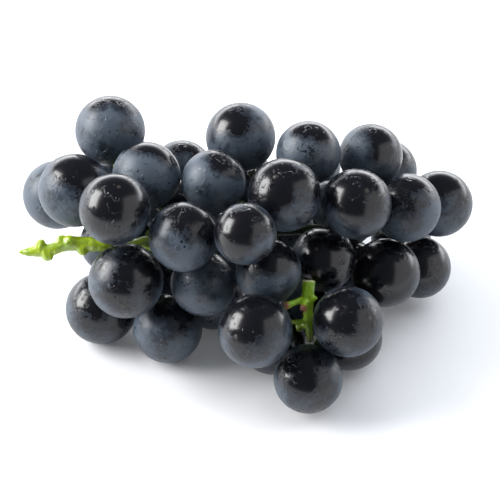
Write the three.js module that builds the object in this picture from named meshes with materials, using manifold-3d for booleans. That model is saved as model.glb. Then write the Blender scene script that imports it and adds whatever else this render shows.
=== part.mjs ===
// A bunch of black table grapes, as picked, lying on its side.
// It is one green stem, with its side branches and berry stalks grown together as one piece, and the
// separate berries at the ends of the stalks. Each berry is a solid of its own, clear of its
// neighbours by a hair, and its stem end faces the end of its stalk.
// Millimetres, +Z up, resting on z = 0. +X runs from the torn end of the stem to the far end of the
// bunch, and -Y is the side that faces the viewer.
import * as THREE from "three";
import { mergeVertices } from "three/addons/utils/BufferGeometryUtils.js";
import Module from "manifold-3d";

const wasm = await Module();
wasm.setup();

// Driving dimensions
const BERRY_GAP = 0.35; // between the skins of two neighbours
const FLOOR_PRESS = 0.6; // how far a berry's round underside is pressed flat where it rests
const FLOOR_REACH = 2; // a facing berry this close to the table sinks on to it
const HIDDEN_FLOOR_REACH = 6; // and a hidden one
const STALK_RADIUS = 0.95; // of the thin stalk of one berry
const STALK_GAP = 0.4; // between a stalk and any berry that it passes
const STALK_END_RADIUS = 2.1; // of the collar at the end of a stalk, against the berry
const STALK_END_GAP = 0.35; // between the collar and the berry's flat stem end
const STEM_END_FLAT = 2.6; // radius of the small flat at a berry's stem end
const RACHIS_RADIUS = 2.7; // of the main stem inside the bunch
const HIDDEN_BERRY_RADII = [11.5, 13.1];
const HIDDEN_BERRY_COUNT = 18;
const HIDDEN_BERRY_REACH = 46; // the farthest that a hidden berry's middle is from the main stem
const CLOSED_GAP = 2.5; // how far a sight line through a closed-in gap passes from the berries round it
const LEAST_WIDTH = 0.985; // of the slimmest berry, across its stem axis, to the roundest one's
const BERRY_SIDES = 14;
const BERRY_BANDS = 7;

// The viewpoint: in front of the bunch and above it, looking down at the point VIEW_AIM.
const VIEW_TILT = THREE.MathUtils.degToRad(40);
const VIEW_DISTANCE = 700;
const VIEW_AIM = new THREE.Vector3(0, 0, 35);
const VIEW_UP = new THREE.Vector3(0, Math.sin(VIEW_TILT), Math.cos(VIEW_TILT));
const VIEW_NEAR = new THREE.Vector3(0, -Math.cos(VIEW_TILT), Math.sin(VIEW_TILT));
const EYE = VIEW_AIM.clone().addScaledVector(VIEW_NEAR, VIEW_DISTANCE);

// The berries that face the viewer, by eye: [across, up, near, radius]. Across and up are where the
// berry's middle looks to be on the upright picture through VIEW_AIM, near is how far it stands out
// of that picture towards the viewer, and the radius is what it looks to be on the picture.
const FACING_BERRIES = [
  // the upper row, from the left
  [-52.7, 45, -6, 13.4], [-25.5, 29.8, -12, 11.8], [-3.5, 42.5, -3, 13.2], [22, 36.5, 9, 12.3],
  [45.5, 35.5, 4, 12.2], [51.2, 30, -21, 11.8],
  // the shoulder at the stem
  [-72.6, 20.8, -18, 13.1], [-66, 22.5, 6.5, 14], [-51, 15.5, 28, 13.8], [-39, 28, 8, 13],
  [-53, 2.7, -8, 11.3], [-46.8, -11.6, 14, 14.3], [-56, -22, -8, 13.5],
  // the crown of the middle
  [-13.8, 25.7, 12, 12.3], [-25, 5, 33, 13.4], [-1.8, 6.1, 41, 11.9], [13, 20.8, 28, 14],
  [40, 17.3, 21.5, 13.6],
  // the far end
  [59, 16, 4, 13.1], [71.3, 17.5, -18, 12.7], [51, -8.6, 3, 13.2], [64, -6.5, -18, 11.8],
  [37.5, -7.5, -12, 11.7],
  // the front of the middle, down to the table
  [-31, -29.5, 1, 13.1], [-17.5, -12.5, 15, 12.6], [7, -8, 25, 12.6], [27.5, -3.5, 12, 12.4],
  [-14, -18.5, -12, 11.5],
  // the small side cluster in front
  [2, -30.5, 31.5, 14.2], [37, -27, 31, 13.5], [22, -48.5, 24, 13.2], [37.5, -33, 5.5, 12.5],
  [8.5, -34.5, 6.5, 12.5], [22, -22, -7.5, 10.6],
  // in the shade, where the gaps between the others show them
  [-30, 16.4, -6, 11.3], [-33.5, -9.5, -20, 11.2], [-49.8, 32.3, -26, 8.5],
  [30, 17.4, -5, 8.9],
];

// The point that looks to be at (across, up) and stands near millimetres out of the picture.
function fromView(across, up, near) {
  const onPicture = VIEW_AIM.clone().addScaledVector(VIEW_UP, up);
  onPicture.x += across;
  return EYE.clone().lerp(onPicture, (VIEW_DISTANCE - near) / VIEW_DISTANCE);
}

// Where a point looks to be on the picture, and how far it stands out of it.
function toView(point) {
  const fromAim = point.clone().sub(VIEW_AIM);
  const near = fromAim.dot(VIEW_NEAR);
  const scale = VIEW_DISTANCE / (VIEW_DISTANCE - near);
  return { across: fromAim.x * scale, up: fromAim.dot(VIEW_UP) * scale, near, scale };
}

// The main stem, from its torn tip, along its bare stretch and through the middle of the bunch:
// [point, radius].
const RACHIS = [
  [fromView(-87.3, -0.8, 12), 0.5],
  [fromView(-84, -0.8, 12), 1.7],
  [fromView(-80.5, -0.4, 12), 2.2],
  [fromView(-76.5, -0.3, 12), 2.4],
  [fromView(-72, 1.3, 12), 2.5],
  [fromView(-68.5, 2.5, 12), 2.9],
  [fromView(-62, 2.2, 12), 2.7],
  [fromView(-55, 2.2, 12), 2.8],
  [fromView(-46, 1, 7.5), RACHIS_RADIUS],
  [fromView(-39, 2.8, 4), RACHIS_RADIUS],
  [new THREE.Vector3(-24, 8, 36), 2.6],
  [new THREE.Vector3(0, 14, 33), 2.4],
  [new THREE.Vector3(25, 16, 32), 2.1],
  [new THREE.Vector3(40, 17, 31), 1.8],
  [new THREE.Vector3(50, 18, 29), 1.4],
];
const BARE_STEM_END = -54; // no stalk leaves the main stem before this x

// The side branch that carries the small cluster in front, from its fork, where the stalks of that
// cluster part, up to its cut end. Behind the fork it finds its own way to the main stem.
const SIDE_FORK = fromView(21.9, -27, 14);
const SIDE_BRANCH = [
  [SIDE_FORK, 1.7],
  [fromView(21.8, -22, 18.5), 2],
  [fromView(21.6, -18.5, 21.5), 2.6],
  [fromView(22, -15, 22.5), 2.4],
  [fromView(22.3, -11.4, 22.5), 2.6],
];

// Knobs where stalks or shoots were trimmed off or fell off: [root, tip, radius, radius at the tip].
const KNOBS = [
  [fromView(-79.3, -0.2, 12), fromView(-78.6, 3.9, 12.5), 2.7, 1.2],
  [fromView(-76.8, -0.5, 12), fromView(-75.8, -3.9, 13), 2.8, 1.4],
  [fromView(-71, 1.6, 12), fromView(-71, 5.5, 12.5), 2.8, 1.3],
  [fromView(-68.4, 2.4, 12), fromView(-66.9, 4.3, 15), 3, 1.3],
  [fromView(-63.2, 1.9, 12), fromView(-63, -1.9, 13), 2.8, 1.2],
  [fromView(21.4, -18, 22), fromView(13.2, -21.2, 25), 1.4, 1.7],
  [fromView(20.8, -18.6, 22.5), fromView(19.8, -22.2, 27), 1.5, 1.3],
  [fromView(22.4, -18.4, 22), fromView(25.4, -18.2, 23.5), 1.6, 0.4],
  [SIDE_FORK, fromView(22.8, -34.8, 13.5), 1.7, 1.3],
];

// A berry that faces the viewer only ever moves along its line of sight, so that it keeps its place
// in the view. The others move freely.
function move(berry, direction, distance) {
  if (!berry.sight) {
    berry.middle.addScaledVector(direction, distance);
    return;
  }
  const along = direction.dot(berry.sight);
  const gain = Math.min(2, 1 / Math.max(0.35, Math.abs(along)));
  slide(berry, Math.sign(along || 1) * distance * gain);
}

// Slides a berry along its line of sight. It keeps the size that it looks to have.
function slide(berry, distance) {
  berry.middle.addScaledVector(berry.sight, distance);
  berry.radius = berry.looks / toView(berry.middle).scale;
}

function nearestOf(points, point) {
  return points.reduce((best, p) =>
    p.distanceToSquared(point) < best.distanceToSquared(point) ? p : best,
  );
}

// Pushes the berries apart until none is nearer than BERRY_GAP to another, to a stem or to the table.
function settle(berries, stems, rounds) {
  for (let round = 0; round < rounds; round++) {
    berries.forEach((a, i) => {
      for (const b of berries.slice(i + 1)) {
        const apart = b.middle.clone().sub(a.middle);
        const distance = apart.length();
        const short = a.radius + b.radius + BERRY_GAP - distance;
        if (short <= 0) continue;
        apart.divideScalar(distance);
        move(a, apart, -short / 2);
        move(b, apart, short / 2);
      }
    });
    for (const berry of berries) {
      for (const stem of stems) {
        const away = berry.middle.clone().sub(nearestOf(stem.points, berry.middle));
        const short = berry.radius + stem.radius + STALK_GAP - away.length();
        if (short > 0) move(berry, away.normalize(), short);
      }
      const sunk = berry.radius - FLOOR_PRESS - berry.middle.z;
      if (sunk < -(berry.sight ? FLOOR_REACH : HIDDEN_FLOOR_REACH)) continue;
      if (berry.sight) slide(berry, sunk / berry.sight.z);
      else berry.middle.z += sunk;
    }
  }
}

// A small seeded generator, so that the bunch comes out the same every time.
function seededRandom(seed) {
  let state = seed;
  return () => {
    state = (state * 1664525 + 1013904223) >>> 0;
    return state / 2 ** 32;
  };
}

// True if a berry at this place would be out of sight behind the berries that face the viewer, or
// show no more than a sliver in a gap that three of them close in.
function isHidden(middle, radius, facing) {
  const seen = toView(middle);
  const rim = 32;
  for (let k = 0; k < rim; k++) {
    const angle = (2 * Math.PI * k) / rim;
    const across = seen.across + radius * seen.scale * Math.cos(angle);
    const up = seen.up + radius * seen.scale * Math.sin(angle);
    const clear = facing
      .filter((f) => f.near > seen.near + 2)
      .map((f) => Math.hypot(across - f.across, up - f.up) - f.radius * f.scale);
    const covered = clear.some((c) => c < -0.4);
    if (!covered && clear.filter((c) => c < CLOSED_GAP).length < 3) return false;
  }
  return true;
}

// Fills the back and the underside of the bunch: each new berry takes the free place out of sight
// that is nearest to a stem, from a seeded draw of places.
function addHiddenBerries(berries, stemPoints) {
  const random = seededRandom(7);
  const facing = berries.map((b) => ({ ...toView(b.middle), radius: b.radius }));
  const tries = 20000;
  for (let n = 0; n < HIDDEN_BERRY_COUNT; n++) {
    const radius = THREE.MathUtils.lerp(...HIDDEN_BERRY_RADII, random());
    let best = null;
    for (let k = 0; k < tries; k++) {
      const middle = new THREE.Vector3(
        THREE.MathUtils.lerp(-75, 75, random()),
        THREE.MathUtils.lerp(-25, 55, random()),
        radius + 50 * random() ** 1.5,
      );
      const reach = nearestOf(stemPoints, middle).distanceTo(middle);
      if (reach < radius + RACHIS_RADIUS + 1 || reach > (best?.reach ?? HIDDEN_BERRY_REACH)) continue;
      if (berries.some((b) => b.middle.distanceTo(middle) < b.radius + radius)) continue;
      if (isHidden(middle, radius, facing)) best = { middle, reach };
    }
    if (best) berries.push({ middle: best.middle, radius });
  }
}

// The free space between the berries, as a grid of points a millimetre apart. room holds how far
// each point is from the nearest berry's skin, up to ROOM_REACH.
const GRID_LOW = new THREE.Vector3(-92, -66, 1);
const GRID_SIZE = [180, 130, 82];
const ROOM_REACH = 8;
const FAR = 99;
const OPEN_COST = 3; // of a millimetre in open view, on top of its own length

function gridIndex(i, j, k) {
  return i + GRID_SIZE[0] * (j + GRID_SIZE[1] * k);
}

function gridPoint(n) {
  const [width, depth] = GRID_SIZE;
  return new THREE.Vector3(
    n % width,
    Math.floor(n / width) % depth,
    Math.floor(n / (width * depth)),
  ).add(GRID_LOW);
}

function nearestGridIndex(point) {
  return gridIndex(...point.clone().sub(GRID_LOW).round().toArray());
}

function measureRoom(berries) {
  const room = new Float32Array(GRID_SIZE[0] * GRID_SIZE[1] * GRID_SIZE[2]).fill(FAR);
  for (const { middle, radius } of berries) {
    const centre = middle.clone().sub(GRID_LOW);
    const reach = radius + ROOM_REACH;
    const from = centre.toArray().map((c) => Math.max(0, Math.ceil(c - reach)));
    const to = centre.toArray().map((c, axis) => Math.min(GRID_SIZE[axis] - 1, Math.floor(c + reach)));
    for (let k = from[2]; k <= to[2]; k++) {
      for (let j = from[1]; j <= to[1]; j++) {
        for (let i = from[0]; i <= to[0]; i++) {
          const n = gridIndex(i, j, k);
          const skin = Math.hypot(i - centre.x, j - centre.y, k - centre.z) - radius;
          room[n] = Math.min(room[n], skin);
        }
      }
    }
  }
  return room;
}

// A queue that gives back the entry of least cost.
class CostQueue {
  entries = [];

  add(cost, n) {
    const { entries } = this;
    let at = entries.length;
    while (at > 0) {
      const above = (at - 1) >> 1;
      if (entries[above][0] <= cost) break;
      entries[at] = entries[above];
      at = above;
    }
    entries[at] = [cost, n];
  }

  take() {
    const { entries } = this;
    const least = entries[0];
    const last = entries.pop();
    if (!entries.length) return least;
    let at = 0;
    for (;;) {
      let below = 2 * at + 1;
      if (below >= entries.length) break;
      if (below + 1 < entries.length && entries[below + 1][0] < entries[below][0]) below++;
      if (entries[below][0] >= last[0]) break;
      entries[at] = entries[below];
      at = below;
    }
    entries[at] = last;
    return least;
  }
}

// True if no berry that faces the viewer stands in front of the point.
function isOpenToView(point, facing) {
  const seen = toView(point);
  return !facing.some(
    (f) => f.near > seen.near && Math.hypot(seen.across - f.across, seen.up - f.up) < f.looks - 1,
  );
}

// Grows outwards from the stems through the gaps between the berries. For each grid point that a
// stalk can reach, back holds the next point on the easiest way home, and cost how long that way is.
// Tight, far-out and openly seen places count as longer, so stalks keep inside the bunch.
function growRoutes(room, stemIndices, facing) {
  const cost = new Float64Array(room.length).fill(Infinity);
  const back = new Int32Array(room.length).fill(-1);
  const open = new Map();
  const queue = new CostQueue();
  for (const n of stemIndices) {
    cost[n] = 0;
    queue.add(0, n);
  }
  const steps = [];
  for (const i of [-1, 0, 1]) {
    for (const j of [-1, 0, 1]) {
      for (const k of [-1, 0, 1]) {
        if (i || j || k) steps.push([gridIndex(i, j, k), Math.hypot(i, j, k)]);
      }
    }
  }
  const leastRoom = STALK_RADIUS + STALK_GAP;
  while (queue.entries.length) {
    const [soFar, n] = queue.take();
    if (soFar > cost[n]) continue;
    for (const [step, length] of steps) {
      const m = n + step;
      if (!(room[m] >= leastRoom && room[m] < FAR)) continue;
      const tight = 0.5 * Math.max(0, 3 - room[m]);
      const farOut = 0.4 * Math.max(0, room[m] - 5);
      const hidden = soFar + length * (1 + tight + farOut);
      if (hidden >= cost[m]) continue;
      if (!open.has(m)) open.set(m, isOpenToView(gridPoint(m), facing));
      const total = hidden + (open.get(m) ? OPEN_COST * length : 0);
      if (total >= cost[m]) continue;
      cost[m] = total;
      back[m] = n;
      queue.add(total, m);
    }
  }
  return { cost, back };
}

function roomAt(point, berries, except) {
  return Math.min(
    ...berries.filter((b) => b !== except).map((b) => b.middle.distanceTo(point) - b.radius),
  );
}

// Turns each berry so that its stem end faces the gap with the easiest way home.
const NECK = 4; // length of the straight end of a stalk, outside the berry
function faceStemEnds(berries, routes) {
  const directions = 400;
  const golden = Math.PI * (3 - Math.sqrt(5));
  for (const berry of berries) {
    for (let s = 0; s < directions; s++) {
      const z = 1 - (2 * s + 1) / directions;
      const out = Math.sqrt(1 - z * z);
      const toStem = new THREE.Vector3(out * Math.cos(s * golden), out * Math.sin(s * golden), z);
      const collar = berry.middle.clone().addScaledVector(toStem, berry.radius + 1);
      const neck = berry.middle.clone().addScaledVector(toStem, berry.radius + NECK);
      const n = nearestGridIndex(neck);
      if (routes.cost[n] >= (berry.cost ?? Infinity) || collar.z < 2 * STALK_END_RADIUS) continue;
      if (roomAt(collar, berries, berry) < STALK_END_RADIUS + STALK_GAP) continue;
      if (roomAt(neck, berries, berry) < STALK_RADIUS + STALK_GAP) continue;
      Object.assign(berry, { cost: routes.cost[n], toStem, neckIndex: n });
    }
  }
}

// The stalks as one tree: knots a step apart, each with the next knot on its way home, the number of
// berries that it feeds, and a radius that grows with that number where there is room. The knot at
// the side branch's fork stays where it is.
function growTree(berries, routes) {
  const knots = new Map();
  for (const berry of berries) {
    for (let n = berry.neckIndex; n >= 0; n = routes.back[n]) {
      const knot = knots.get(n) ?? { place: gridPoint(n), feeds: 0, back: routes.back[n] };
      knot.feeds++;
      knots.set(n, knot);
    }
  }
  const tree = [...knots.values()];
  for (const knot of tree) {
    knot.home = knots.get(knot.back);
    knot.radius = STALK_RADIUS * knot.feeds ** 0.33;
  }
  const fork = knots.get(nearestGridIndex(SIDE_FORK));
  if (fork) fork.fixed = true;
  for (const berry of berries) {
    berry.neck = knots.get(berry.neckIndex);
    berry.neck.place = berry.middle.clone().addScaledVector(berry.toStem, berry.radius + NECK);
    berry.neck.fixed = true;
  }
  return tree;
}

// Eases the knots into smooth curves. A knot only moves where it stays clear of every berry.
function smoothTree(tree, berries, rounds) {
  for (const knot of tree) knot.outer = tree.filter((k) => k.home === knot);
  for (let round = 0; round < rounds; round++) {
    for (const knot of tree) {
      if (knot.fixed || !knot.home) continue;
      const middle = new THREE.Vector3();
      for (const outer of knot.outer) middle.addScaledVector(outer.place, outer.feeds / knot.feeds);
      middle.lerp(knot.home.place, 0.5);
      const eased = knot.place.clone().lerp(middle, 0.6);
      for (const berry of berries) {
        const away = eased.clone().sub(berry.middle);
        const short = berry.radius + STALK_RADIUS + STALK_GAP - away.length();
        if (short > 0) eased.addScaledVector(away.normalize(), short);
      }
      if (roomAt(eased, berries) > STALK_RADIUS + STALK_GAP - 0.05) knot.place.copy(eased);
    }
  }
  for (const knot of tree) {
    const spare = roomAt(knot.place, berries) - STALK_GAP;
    knot.radius = Math.max(0.9 * STALK_RADIUS, Math.min(knot.radius, spare));
  }
}

// The tree as limbs, the longest first. Each runs from a berry's collar back to the limb or stem
// that it grows from: a list of [point, radius].
function limbsOf(berries) {
  const wayHome = (berry) => {
    const way = [];
    for (let knot = berry.neck; knot; knot = knot.home) way.push(knot);
    return way;
  };
  const ways = berries.map((berry) => ({ berry, way: wayHome(berry) }));
  ways.sort((a, b) => b.way.length - a.way.length);
  const taken = new Set();
  return ways.map(({ berry, way }) => {
    const joins = way.findIndex((knot) => taken.has(knot));
    const own = joins < 0 ? way : way.slice(0, joins + 1);
    own.forEach((knot) => taken.add(knot));
    const stemEnd = Math.sqrt(berry.radius ** 2 - STEM_END_FLAT ** 2) + STALK_END_GAP;
    const outAt = (distance) => berry.middle.clone().addScaledVector(berry.toStem, distance);
    const collar = [
      [outAt(stemEnd), STALK_END_RADIUS],
      [outAt(stemEnd + 0.9), STALK_END_RADIUS],
      [outAt(stemEnd + 2.2), 0.5 * (STALK_END_RADIUS + STALK_RADIUS)],
    ];
    const spacing = 5;
    const last = own.length - 1;
    const kept = own.filter((knot, k) => k === 0 || k === last || (k % spacing === 0 && last - k > 1));
    return [...collar, ...kept.map((knot) => [knot.place, knot.radius])];
  });
}

// A closed round bar through the points, with the radius given at each: a cylinder bent along them.
function bar(path, sides, ringsPerStretch) {
  const stretches = path.length - 1;
  const rings = stretches * ringsPerStretch;
  const curve = new THREE.CatmullRomCurve3(path.map(([point]) => point), false, "centripetal");
  const geometry = new THREE.CylinderGeometry(1, 1, 1, sides, rings);
  const frames = [];
  let side = null;
  for (let ring = 0; ring <= rings; ring++) {
    const t = ring / rings;
    const along = curve.getTangent(t);
    side ??= new THREE.Vector3(0.3, 0.5, 0.8).cross(along);
    side = side.clone().addScaledVector(along, -side.dot(along)).normalize();
    const stretch = Math.min(Math.floor(t * stretches), stretches - 1);
    const radius = THREE.MathUtils.lerp(path[stretch][1], path[stretch + 1][1], t * stretches - stretch);
    frames.push({ point: curve.getPoint(t), side, across: side.clone().cross(along), radius });
  }
  const position = geometry.getAttribute("position");
  for (let v = 0; v < position.count; v++) {
    const { point, side: x, across, radius } = frames[Math.round((0.5 + position.getY(v)) * rings)];
    const bent = point
      .clone()
      .addScaledVector(x, radius * position.getX(v))
      .addScaledVector(across, radius * position.getZ(v));
    position.setXYZ(v, ...bent.toArray());
  }
  return geometry;
}

// A closed mesh as a solid that can be joined and cut, and back.
function solidOf(geometry) {
  const bare = geometry.clone();
  bare.deleteAttribute("normal");
  bare.deleteAttribute("uv");
  const merged = mergeVertices(bare, 1e-4);
  const mesh = new wasm.Mesh({
    numProp: 3,
    vertProperties: merged.getAttribute("position").array,
    triVerts: new Uint32Array(merged.index.array),
  });
  const solid = new wasm.Manifold(mesh);
  return solid;
}

function geometryOf(solid) {
  const { vertProperties, triVerts } = solid.getMesh();
  const geometry = new THREE.BufferGeometry();
  geometry.setAttribute("position", new THREE.BufferAttribute(vertProperties, 3));
  geometry.setIndex(new THREE.BufferAttribute(triVerts, 1));
  geometry.computeVertexNormals();
  return geometry;
}

const STEM_GREEN = new THREE.MeshStandardMaterial({ color: 0x7fae1e, roughness: 0.55, metalness: 0 });
const BERRY_SKIN = new THREE.MeshStandardMaterial({ color: 0x23262f, roughness: 0.3, metalness: 0 });

function stem(limbs) {
  const rachis = solidOf(bar(RACHIS, 12, 2));
  const parts = [
    bar(SIDE_BRANCH, 8, 2),
    ...KNOBS.map(([root, tip, radius, tipRadius]) =>
      bar([[root, radius], [root.clone().lerp(tip, 0.6), 0.85 * radius], [tip, tipRadius]], 7, 1),
    ),
    ...limbs.map((limb) => bar(limb, 6, 1)),
  ];
  const joined = parts.reduce((whole, part) => whole.add(solidOf(part)), rachis);
  const mesh = new THREE.Mesh(geometryOf(joined), STEM_GREEN);
  mesh.name = "stem";
  return mesh;
}

// A berry, with its stem end up its own Y axis: a round body, cut off flat where the stalk meets it.
function berryGeometry({ radius, width }) {
  const flatAngle = Math.asin(STEM_END_FLAT / radius);
  const profile = [new THREE.Vector2(0, radius * Math.cos(flatAngle))];
  for (let band = 0; band < BERRY_BANDS; band++) {
    const angle = THREE.MathUtils.lerp(flatAngle, Math.PI, band / BERRY_BANDS);
    profile.push(new THREE.Vector2(width * radius * Math.sin(angle), radius * Math.cos(angle)));
  }
  profile.push(new THREE.Vector2(0, -radius));
  return new THREE.LatheGeometry(profile.reverse(), BERRY_SIDES);
}

// The berry in its place. One that rests on the table is flat where it is pressed against it.
function berryMesh(berry, name) {
  const mesh = new THREE.Mesh(berryGeometry(berry), BERRY_SKIN);
  mesh.name = name;
  mesh.position.copy(berry.middle);
  mesh.quaternion.setFromUnitVectors(new THREE.Vector3(0, 1, 0), berry.toStem);
  mesh.updateMatrix();
  if (berry.middle.z < berry.radius) {
    const table = new THREE.BoxGeometry(200, 200, 20).translate(0, 0, -10);
    table.translate(Math.round(berry.middle.x), Math.round(berry.middle.y), 0);
    table.applyMatrix4(mesh.matrix.clone().invert());
    mesh.geometry = geometryOf(solidOf(mesh.geometry).subtract(solidOf(table)));
  }
  return mesh;
}

const berries = FACING_BERRIES.map(([across, up, near, looks]) => {
  const middle = fromView(across, up, near);
  return {
    middle,
    looks,
    radius: looks / toView(middle).scale,
    sight: middle.clone().sub(EYE).normalize(),
  };
});
const pointsAlong = (path, count) =>
  new THREE.CatmullRomCurve3(path.map(([point]) => point), false, "centripetal").getSpacedPoints(count);
const rachisPoints = pointsAlong(RACHIS, 140);
const stems = [
  { points: rachisPoints, radius: RACHIS_RADIUS },
  { points: pointsAlong(SIDE_BRANCH, 12), radius: 2.4 },
];
settle(berries, stems, 500);
addHiddenBerries(berries, rachisPoints);
settle(berries, stems, 800);
const width = seededRandom(3);
for (const berry of berries) {
  const rests = berry.middle.z < berry.radius;
  berry.width = rests ? 1 : THREE.MathUtils.lerp(LEAST_WIDTH, 1, width());
}

// The side branch grows from the main stem first, and the berries' stalks from both.
const room = measureRoom(berries);
const facing = berries.filter((b) => b.sight).map((b) => ({ ...toView(b.middle), looks: b.looks }));
const rachisIndices = rachisPoints.filter((p) => p.x > BARE_STEM_END).map(nearestGridIndex);
const branchWay = growRoutes(room, rachisIndices, facing).back;
const branchIndices = [];
for (let n = nearestGridIndex(SIDE_FORK); n >= 0; n = branchWay[n]) branchIndices.push(n);
const routes = growRoutes(room, [...rachisIndices, ...branchIndices], facing);
for (const n of branchIndices) routes.back[n] = branchWay[n];
faceStemEnds(berries, routes);
const tree = growTree(berries, routes);
smoothTree(tree, berries, 60);

const bunch = new THREE.Group();
bunch.add(stem(limbsOf(berries)));
berries.forEach((berry, n) => {
  bunch.add(berryMesh(berry, "berry_" + String(n + 1).padStart(2, "0")));
});

// The origin is on the table, under the middle of the bunch's box.
const box = new THREE.Box3().setFromObject(bunch, true);
const centre = box.getCenter(new THREE.Vector3());
bunch.position.set(-centre.x, -centre.y, 0);

export default bunch;
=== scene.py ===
# A bunch of black table grapes lying on a white table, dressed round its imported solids.
# Metres, +Z up, in the frame of the solids.
import math
import random

import bmesh
import bpy
from mathutils import Matrix, Vector, noise


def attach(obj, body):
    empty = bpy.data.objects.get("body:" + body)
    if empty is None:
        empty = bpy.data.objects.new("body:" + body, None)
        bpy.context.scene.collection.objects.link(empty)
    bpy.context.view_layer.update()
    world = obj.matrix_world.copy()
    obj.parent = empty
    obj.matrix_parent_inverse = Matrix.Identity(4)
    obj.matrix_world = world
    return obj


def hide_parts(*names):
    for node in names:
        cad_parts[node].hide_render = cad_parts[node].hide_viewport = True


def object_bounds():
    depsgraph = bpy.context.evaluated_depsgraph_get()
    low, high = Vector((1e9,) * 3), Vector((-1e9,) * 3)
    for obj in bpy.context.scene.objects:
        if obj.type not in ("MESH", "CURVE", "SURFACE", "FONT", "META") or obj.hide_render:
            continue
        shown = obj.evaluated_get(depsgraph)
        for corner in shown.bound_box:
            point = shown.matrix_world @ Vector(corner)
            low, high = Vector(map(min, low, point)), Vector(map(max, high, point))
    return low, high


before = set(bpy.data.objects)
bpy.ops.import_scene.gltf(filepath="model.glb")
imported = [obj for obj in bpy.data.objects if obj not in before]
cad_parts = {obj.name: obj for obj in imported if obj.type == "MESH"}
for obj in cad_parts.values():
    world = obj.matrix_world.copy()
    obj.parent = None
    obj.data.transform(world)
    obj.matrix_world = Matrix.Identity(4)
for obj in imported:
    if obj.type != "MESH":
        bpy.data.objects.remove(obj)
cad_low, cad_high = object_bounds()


# Camera
# A product photograph's: a long lens in front of the bunch and 40 degrees above the table, not
# rolled, aimed at a point 35 mm above the table and near the middle of the bunch.
MM = 0.001
TILT = math.radians(40)
CAMERA_DISTANCE = 700 * MM
FRAME_WIDTH = 188.5 * MM  # that the picture takes in, at that distance
AIM = Vector((0.94, -2.96, 35)) * MM
PICTURE_UP = Vector((0, math.sin(TILT), math.cos(TILT)))
TOWARD_CAMERA = Vector((0, -math.cos(TILT), math.sin(TILT)))


def add_object(name, data):
    """A new object in the scene."""
    made = bpy.data.objects.new(name, data)
    bpy.context.scene.collection.objects.link(made)
    return made


camera_data = bpy.data.cameras.new("camera")
camera_data.sensor_width = 36
camera_data.lens = camera_data.sensor_width * CAMERA_DISTANCE / FRAME_WIDTH
camera_data.clip_start = 0.05
camera_data.clip_end = 50
camera = add_object("camera", camera_data)
camera.location = AIM + CAMERA_DISTANCE * TOWARD_CAMERA
camera.rotation_euler = (math.pi / 2 - TILT, 0, 0)
bpy.context.scene.camera = camera
bpy.context.scene.view_settings.view_transform = "Standard"


# Berries
# Each is a thin-skinned fruit, nearly round, that hangs by its stem end. It is drawn in a little
# there, and at the other end it keeps the small dry scar of the flower.
STEM_END_FLAT = 2.6 * MM  # radius of the flat at the stem end of a berry's solid
WIDEST_RING = 0.993  # of a solid, to the round fruit that it stands for
WELD = 1e-6  # corners nearer than this are one
SAME_FLAT = math.radians(2)  # faces of a solid that turn by less are one flat
RESTING_FLAT = 0.5 * MM  # a flat lower than this is where a berry rests on the table
ON_TABLE = 1e-5  # a solid that comes lower than this rests on the table

UNEVENNESS = 0.012  # of the radius
STEM_DIMPLE = 0.45 * MM
STEM_DIMPLE_REACH = 0.22  # this and the reaches below are angles at the middle of the fruit
TIP_DIMPLE = 0.16 * MM
TIP_DIMPLE_REACH = 0.16
SCAR = 0.16 * MM
SCAR_REACH = 0.045
SCAR_STAIN_REACH = 0.075
FINE_BELOW = -0.985  # on a fruit of radius 1, where its mesh is made finer for the scar

SWELLS = 1.1  # how close together a fruit's swells lie, and then its drifts of wax
DRIFTS = 1.6
SEED_RANGE = 40  # of the noise that they are read from
WEAR_EDGE = 0.5  # angle over which the wax round a bare patch thins out
RUBBED = {9, 12, 13, 15, 16, 17, 18, 21, 22, 27, 29, 30, 31, 32, 33}  # handled until they shine

# A berry's wax: how far to the right and back its bare patch faces for each 1 up, how much that
# varies, the angle that the patch reaches, the usual cover, and how much of it is worn off there.
SHINY = {"facing": (0, -0.6), "vary": 0.3, "reach": (0.9, 1.3), "cover": 0.52, "worn": (0.35, 0.62)}
WAXY = {"facing": (0.15, 0.1), "vary": 0.4, "reach": (0.5, 1.05), "cover": 0.7, "worn": (0.6, 0.9)}


class Socket:
    """The output of a shader node, so that shader maths is written as Python sums."""

    def __init__(self, tree, output):
        self.tree = tree
        self.output = output

    def node(self, kind, inputs, output=0, **settings):
        made = self.tree.nodes.new("ShaderNode" + kind)
        for name, value in settings.items():
            setattr(made, name, value)
        for name, value in inputs.items():
            if isinstance(value, Socket):
                self.tree.links.new(value.output, made.inputs[name])
            else:
                made.inputs[name].default_value = value
        return Socket(self.tree, made.outputs[output])

    def maths(self, operation, *values):
        return self.node("Math", dict(enumerate(values)), operation=operation)

    def __add__(self, other):
        return self.maths("ADD", self, other)

    def __sub__(self, other):
        return self.maths("SUBTRACT", self, other)

    def __rsub__(self, other):
        return self.maths("SUBTRACT", other, self)

    def __mul__(self, other):
        return self.maths("MULTIPLY", self, other)

    __radd__ = __add__
    __rmul__ = __mul__

    def step(self, low, high):
        """0 below low and 1 above high, with a soft step between."""
        ends = {"Value": self, "From Min": low, "From Max": high}
        return self.node("MapRange", ends, interpolation_type="SMOOTHSTEP")

    def noise(self, size, detail=2, roughness=0.5, distortion=0):
        """Noise with blotches of about that size, read at this socket's place."""
        inputs = {"Vector": self, "Scale": 1 / size, "Detail": detail, "Roughness": roughness}
        return self.node("TexNoise", {**inputs, "Distortion": distortion})

    def mix(self, first, second):
        """The first colour where this is 0 and the second where it is 1."""
        return self.node("Mix", {0: self, 6: first, 7: second}, output=2, data_type="RGBA")

    def bump(self, height, normal=None):
        inputs = {"Height": self, "Distance": height}
        if normal:
            inputs["Normal"] = normal
        return self.node("Bump", inputs)

    def feed(self, shader, name):
        self.tree.links.new(self.output, shader.inputs[name])


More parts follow.
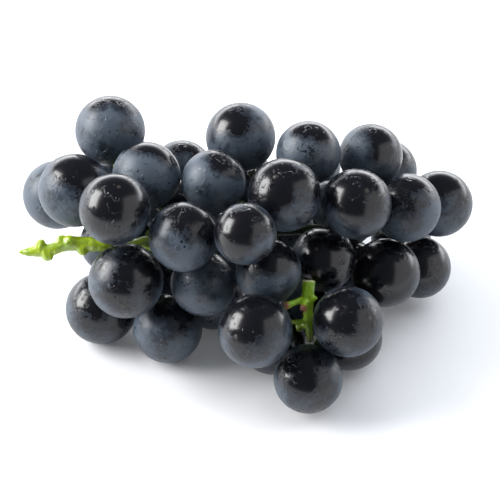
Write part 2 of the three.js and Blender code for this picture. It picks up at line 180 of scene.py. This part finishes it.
def coordinates(tree, name):
    """The coordinates of that name, as a socket."""
    return Socket(tree, tree.nodes.new("ShaderNodeTexCoord").outputs[name])


def attribute(place, name):
    return place.node("Attribute", {}, output="Fac", attribute_name=name)


def new_material(name, colour, roughness):
    """A material, its shader and its Object coordinates."""
    material = bpy.data.materials.new(name)
    material.use_nodes = True
    material.diffuse_color = colour
    shader = material.node_tree.nodes["Principled BSDF"]
    shader.inputs["Base Color"].default_value = colour
    shader.inputs["Roughness"].default_value = roughness
    return material, shader, coordinates(material.node_tree, "Object")


# The skin is near black and shiny, under a thin blue-grey wax that is rubbed off in patches.
SKIN = (0.004, 0.004, 0.006, 1)
WAX = (0.060, 0.080, 0.106, 1)
WAX_THIN = (0.012, 0.016, 0.024, 1)
SCAR_BROWN = (0.035, 0.028, 0.024, 1)
PATCH = 7 * MM  # sizes across, of the wax's patches and the tatters of their edges
TATTER = 2.2 * MM
SPECK = 1.5 * MM  # of the specks without wax, and the crowds that they come in
CROWD = 9 * MM
PORE = 0.5 * MM
WET_STREAK = 10 * MM
DROP = 3 * MM
PATCHINESS = 0.6  # how much the patches change the cover, then how much crowds gather the specks
CROWDING = 0.6
THIN_FROM = (0.20, 0.27)  # levels between which each sets in
THICK_FROM = (0.30, 0.85)
SPECKS_FROM = (0.97, 1.00)
WET_FROM = (0.48, 0.60)
DROPS_FROM = (0.56, 0.61)
SPECK_LOSS = 0.85  # of the wax, in the middle of a speck
SKIN_ROUGHNESS = 0.16  # then what is added to it by each thing that lies on the skin
THIN_ROUGHNESS = 0.12
THICK_ROUGHNESS = 0.14
TATTER_ROUGHNESS = 0.10
SCAR_ROUGHNESS = 0.2
WAX_DEPTH = 0.03 * MM
PORE_DEPTH = 0.012 * MM
DROP_HEIGHT = 0.2 * MM

skin, shader, place = new_material("berry_skin", SKIN, 0.2)
patches = place.noise(PATCH, detail=5, roughness=0.6, distortion=0.5)
tatters = place.noise(TATTER, detail=5, roughness=0.6, distortion=0.4)
level = attribute(place, "wax") + PATCHINESS * (patches - 0.5) + (tatters - 0.5)
crowds = place.noise(CROWD)
specks = place.noise(SPECK, detail=3, roughness=0.6) + CROWDING * crowds
waxed = 1 - SPECK_LOSS * specks.step(*SPECKS_FROM)
thin = level.step(*THIN_FROM) * waxed
thick = level.step(*THICK_FROM) * waxed
scar = attribute(place, "scar")
colour = thin.mix(SKIN, WAX_THIN)
colour = thick.mix(colour, WAX)
colour = scar.mix(colour, SCAR_BROWN)
colour.feed(shader, "Base Color")
roughness = SKIN_ROUGHNESS + THIN_ROUGHNESS * thin + THICK_ROUGHNESS * thick
roughness = roughness + TATTER_ROUGHNESS * tatters + SCAR_ROUGHNESS * scar
roughness.feed(shader, "Roughness")
wet = place.noise(WET_STREAK).step(*WET_FROM)
drops = wet * place.noise(DROP, distortion=0.6).step(*DROPS_FROM)
relief = thin.bump(WAX_DEPTH)
relief = place.noise(PORE).bump(PORE_DEPTH, relief)
relief = drops.bump(DROP_HEIGHT, relief)
relief.feed(shader, "Normal")
shader.inputs["IOR"].default_value = 1.5


def ramp(value, zero_at, one_at):
    """0 at the first place and 1 at the second, even between them and level beyond."""
    return max(0, min(1, (value - zero_at) / (one_at - zero_at)))


def round_bump(angle, reach):
    """1 in the middle of a bump or a dimple, and next to nothing at twice its reach."""
    return math.exp(-((angle / reach) ** 2))


def merged_copy(node):
    """A bmesh of a solid, with its triangles joined at their corners."""
    body = bmesh.new()
    body.from_mesh(node.data)
    bmesh.ops.remove_doubles(body, verts=body.verts, dist=WELD)
    return body


def add_piece(name, body, mesh_data, material, replaced):
    """Finishes the body as a smooth piece of that name, none of it outside the solids' box."""
    for v in body.verts:
        v.co = Vector(max(low, min(high, x)) for low, x, high in zip(cad_low, v.co, cad_high))
    for face in body.faces:
        face.smooth = True
    body.to_mesh(mesh_data)
    body.free()
    piece = add_object(name, mesh_data)
    mesh_data.materials.append(material)
    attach(piece, "root")
    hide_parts(replaced)


def form_of(node):
    """The middle, stem direction, radius and width of the berry that a solid stands for."""
    solid = merged_copy(node)
    bmesh.ops.dissolve_limit(solid, angle_limit=SAME_FLAT, verts=solid.verts, edges=solid.edges)
    flats = [f for f in solid.faces if f.calc_center_median().z > RESTING_FLAT]
    stem_end = max(flats, key=lambda f: len(f.verts))
    centre = stem_end.calc_center_median()
    toward_stem = stem_end.normal.copy()
    depths = [(centre - v.co).dot(toward_stem) for v in solid.verts]
    widest = max(
        ((v.co - centre) - (v.co - centre).dot(toward_stem) * toward_stem).length
        for v in solid.verts
    )
    rests = min(v.co.z for v in solid.verts) < ON_TABLE
    solid.free()
    if rests:
        radius = widest / WIDEST_RING
        width = 1
    else:
        radius = (max(depths) ** 2 + STEM_END_FLAT**2) / (2 * max(depths))
        width = min(1, widest / radius / WIDEST_RING)
    middle = centre - toward_stem * math.sqrt(radius**2 - STEM_END_FLAT**2)
    return middle, toward_stem, radius, width


def berry(node_name, number):
    middle, toward_stem, radius, width = form_of(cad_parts[node_name])
    turn = toward_stem.to_track_quat("Z", "Y").to_matrix()
    wear = SHINY if number in RUBBED else WAXY
    draw = random.Random(number)
    seed = Vector((draw.random(), draw.random(), draw.random())) * SEED_RANGE
    facing = [draw.gauss(mean, wear["vary"]) for mean in wear["facing"]]
    bare = (turn.inverted() @ Vector((*facing, 1))).normalized()
    bare_reach = draw.uniform(*wear["reach"])
    worn_off = draw.uniform(*wear["worn"])

    body = bmesh.new()
    bmesh.ops.create_icosphere(body, subdivisions=5, radius=1)
    tip_edges = [e for e in body.edges if min(v.co.z for v in e.verts) < FINE_BELOW]
    bmesh.ops.subdivide_edges(body, edges=tip_edges, cuts=2, use_grid_fill=True)
    bmesh.ops.triangulate(body, faces=[f for f in body.faces if len(f.verts) > 4])
    wax_cover = body.verts.layers.float.new("wax")
    scar_cover = body.verts.layers.float.new("scar")
    for v in body.verts:
        way = v.co.normalized()
        from_stem = math.acos(max(-1, min(1, way.z)))
        from_tip = math.pi - from_stem
        uneven = 0.5 + 0.5 * noise.noise(way * SWELLS + seed)
        out = radius * (1 - UNEVENNESS * uneven)
        out -= STEM_DIMPLE * round_bump(from_stem, STEM_DIMPLE_REACH)
        out -= TIP_DIMPLE * round_bump(from_tip, TIP_DIMPLE_REACH)
        out += SCAR * round_bump(from_tip, SCAR_REACH)
        v.co = Vector((way.x * width, way.y * width, way.z)) * out
        v[scar_cover] = max(0, 1 - (from_tip / SCAR_STAIN_REACH) ** 2)
        bareness = ramp(bare_reach - way.angle(bare), -WEAR_EDGE / 2, WEAR_EDGE / 2)
        drift = 0.5 * noise.noise(way * DRIFTS - seed)
        v[wax_cover] = wear["cover"] + drift - worn_off * bareness
    bmesh.ops.transform(body, matrix=Matrix.Translation(middle) @ turn.to_4x4(), verts=body.verts)
    fruit = node_name + "_fruit"
    add_piece(fruit, body, bpy.data.meshes.new(fruit), skin, node_name)


berry_nodes = sorted(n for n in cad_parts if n.startswith("berry_"))
for number, node_name in enumerate(berry_nodes, start=1):
    berry(node_name, number)


# Stem
# One grown piece: woody where it was torn from the vine, green and juicy further in, with knobs
# where shoots were trimmed, and a thin stalk with a small collar for each berry.
STEM_GREEN = (0.22, 0.34, 0.004, 1)
STEM_PALE = (0.40, 0.53, 0.01, 1)
STEM_YOUNG_LIT = (0.25, 0.48, 0.01, 1)  # the side branch, which is juicier and greener, and painted lighter where the key light leaves it in shade
STEM_SHADE = (0.016, 0.03, 0.003, 1)  # painted shade, deep in the bunch where no light gets at it
STEM_BROWN = (0.20, 0.10, 0.03, 1)
CUT_PALE = (0.62, 0.60, 0.30, 1)
CUT_RED = (0.28, 0.09, 0.05, 1)
PALE_BLOTCH = 6 * MM  # sizes across, here and below
DRY_FLECK = 1.1 * MM
DENT = 2 * MM
DENT_DEPTH = 0.5 * MM
FIBRE = 0.7 * MM
FIBRE_DEPTH = 0.15 * MM
PALE_FROM = (0.35, 0.65)  # levels between which the pale blotches and then the dry flecks set in
DRY_FROM = (0.6, 0.66)
DRYNESS = 0.4  # how much of their brown the dry flecks show
STEM_GRAIN = 0.4 * MM  # size of the cells that the solid is remade from
LUMP = 1.6 * MM
SMALL_LUMP = 0.7 * MM
LUMP_HEIGHT = 0.16 * MM

# Where the stem's colours change, in mm across the picture, up it and nearer than the aim. A
# colour is missing at a pair's first place and full at its second.
BRANCH_LEFT = (9, 12)
BRANCH_RIGHT = (30, 27)
BRANCH_FOOT = (-36, -24)
BRANCH_BACK = (9, 14)
BRANCH_YOUTH_AND_LIGHT = 0.8  # how much of the side branch's greener, painted-lighter colour shows
SHADE = (-56, -32)  # across, where the main stem goes in among the berries and its painted shade sets in
BRANCH_CUT = (-12.2, -11.9)
WITHERED_ENDS = ((13.2, -21.2), (19.8, -22.2))  # of the fork in front, across and up
WITHERED = (2.2, 1.2)  # from the nearer of those ends

green, shader, place = new_material("stem_green", STEM_GREEN, 0.4)
pale = place.noise(PALE_BLOTCH, detail=3).step(*PALE_FROM)
dry = DRYNESS * place.noise(DRY_FLECK, detail=3, roughness=0.7).step(*DRY_FROM)
colour = pale.mix(STEM_GREEN, STEM_PALE)
colour = dry.mix(colour, STEM_BROWN)
# the side branch: greener, and painted lighter where the key light leaves it in shade
colour = attribute(place, "young_and_lit").mix(colour, STEM_YOUNG_LIT)
# painted shade on the stem where it runs in among the berries
colour = attribute(place, "deep_shade").mix(colour, STEM_SHADE)
colour = attribute(place, "cut").mix(colour, CUT_PALE)
colour = attribute(place, "withered").mix(colour, CUT_RED)
colour.feed(shader, "Base Color")
relief = place.noise(DENT).bump(DENT_DEPTH)
relief = place.noise(FIBRE, detail=3, roughness=0.6).bump(FIBRE_DEPTH, relief)
relief.feed(shader, "Normal")
shader.inputs["Coat Weight"].default_value = 0.8
shader.inputs["Coat Roughness"].default_value = 0.1
shader.inputs["Subsurface Weight"].default_value = 0.25
shader.inputs["Subsurface Radius"].default_value = (0.5, 0.8, 0.2)
shader.inputs["Subsurface Scale"].default_value = 1.5 * MM

rough_body = merged_copy(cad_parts["stem"])
rough_mesh = bpy.data.meshes.new("stem_rough")
rough_body.to_mesh(rough_mesh)
rough_body.free()
rough_stem = add_object("stem_rough", rough_mesh)
remesh = rough_stem.modifiers.new("cells", "REMESH")
remesh.mode = "VOXEL"
remesh.voxel_size = STEM_GRAIN
smooth = rough_stem.modifiers.new("rounded", "SMOOTH")
smooth.factor = 0.5
smooth.iterations = 4
depsgraph = bpy.context.evaluated_depsgraph_get()
grown = bpy.data.meshes.new_from_object(rough_stem.evaluated_get(depsgraph))
grown.name = "stem_grown"
bpy.data.objects.remove(rough_stem)


def in_picture(point):
    """How far right of the aim and above it a point looks, and how far it is nearer, all in mm."""
    from_aim = (point - AIM) / MM
    near = from_aim.dot(TOWARD_CAMERA)
    scale = CAMERA_DISTANCE / (CAMERA_DISTANCE - near * MM)
    return from_aim.x * scale, from_aim.dot(PICTURE_UP) * scale, near


body = bmesh.new()
body.from_mesh(grown)
body.normal_update()
young_and_lit = body.verts.layers.float.new("young_and_lit")
deep_shade = body.verts.layers.float.new("deep_shade")
cut = body.verts.layers.float.new("cut")
withered = body.verts.layers.float.new("withered")
for v in body.verts:
    across, up, near = in_picture(v.co)
    on_branch = (
        ramp(near, *BRANCH_BACK)
        * ramp(across, *BRANCH_LEFT)
        * ramp(across, *BRANCH_RIGHT)
        * ramp(up, *BRANCH_FOOT)
    )
    # painted light on the side branch, as well as its greener colour
    v[young_and_lit] = BRANCH_YOUTH_AND_LIGHT * on_branch
    # painted shade on the main stem, not on the side branch
    v[deep_shade] = ramp(across, *SHADE) * (1 - on_branch)
    v[cut] = on_branch * ramp(up, *BRANCH_CUT)
    from_end = min(math.dist((across, up), end) for end in WITHERED_ENDS)
    v[withered] = on_branch * ramp(from_end, *WITHERED)
for v in body.verts:
    lumps = noise.noise(v.co / LUMP) + 0.5 * noise.noise(v.co / SMALL_LUMP)
    v.co += v.normal * lumps * LUMP_HEIGHT
add_piece("stem_grown", body, grown, green, "stem")


# Table and light
# A smooth white table top in a dark studio with a bright back wall. A strong soft box lights the
# bunch from the left, a wide one gives it its sheen on the right, and one above fills the shade.
TABLE_WHITE = (0.9, 0.9, 0.91, 1)
TABLE_REACH = 6  # each way from its middle
TABLE_GLOW = 0.05
DARK_WALLS = (0.13, 0.14, 0.16, 1)
BACK_WALL = (6, 6.1, 6.3, 1)
WALL_FROM = (0.1, 0.6)  # how far back a direction points while the wall sets in
WALL_TOP = (0.1, 0.4)  # how far up it points while the wall fades out again
FILL_COLOUR = (0.92, 0.95, 1)

table_material, shader, place = new_material("table_top", TABLE_WHITE, 0.6)
shader.inputs["Emission Color"].default_value = (1, 1, 1, 1)
shader.inputs["Emission Strength"].default_value = TABLE_GLOW
top = bmesh.new()
bmesh.ops.create_grid(top, x_segments=1, y_segments=1, size=TABLE_REACH)
table_mesh = bpy.data.meshes.new("table_top")
top.to_mesh(table_mesh)
top.free()
table_mesh.materials.append(table_material)
table = add_object("table_top", table_mesh)

world = bpy.data.worlds.new("studio")
world.use_nodes = True
bpy.context.scene.world = world
direction = coordinates(world.node_tree, "Generated")
backward = direction.node("SeparateXYZ", {"Vector": direction}, output="Y")
upward = direction.node("SeparateXYZ", {"Vector": direction}, output="Z")
on_back_wall = backward.step(*WALL_FROM) * (1 - upward.step(*WALL_TOP))
walls = on_back_wall.mix(DARK_WALLS, BACK_WALL)
walls.feed(world.node_tree.nodes["Background"], "Color")


def soft_box(name, direction, distance, width, height, brightness):
    """A soft box of that brightness, in the direction given from the bunch. It faces the bunch,
    with its height along the picture's."""
    light = bpy.data.lights.new(name, "AREA")
    light.shape = "RECTANGLE"
    light.size = width
    light.size_y = height
    light.energy = brightness * math.pi * width * height
    lamp = add_object(name, light)
    outward = Vector(direction).normalized()
    across = PICTURE_UP.cross(outward).normalized()
    turn = Matrix((across, outward.cross(across), outward)).transposed()
    lamp.matrix_world = Matrix.Translation(AIM + outward * distance) @ turn.to_4x4()
    return lamp


soft_box("left_box", (-0.87, 0.05, 0.5), distance=1.3, width=0.7, height=1.0, brightness=14)
sheen = soft_box("right_box", (0.93, -0.35, 0.2), distance=1.2, width=1.9, height=2.1, brightness=1.1)
sheen.visible_diffuse = False
fill = soft_box("fill_box", (0.35, 0.35, 0.87), distance=1.4, width=2.2, height=2.2, brightness=2.2)
fill.visible_glossy = False
fill.data.color = FILL_COLOUR
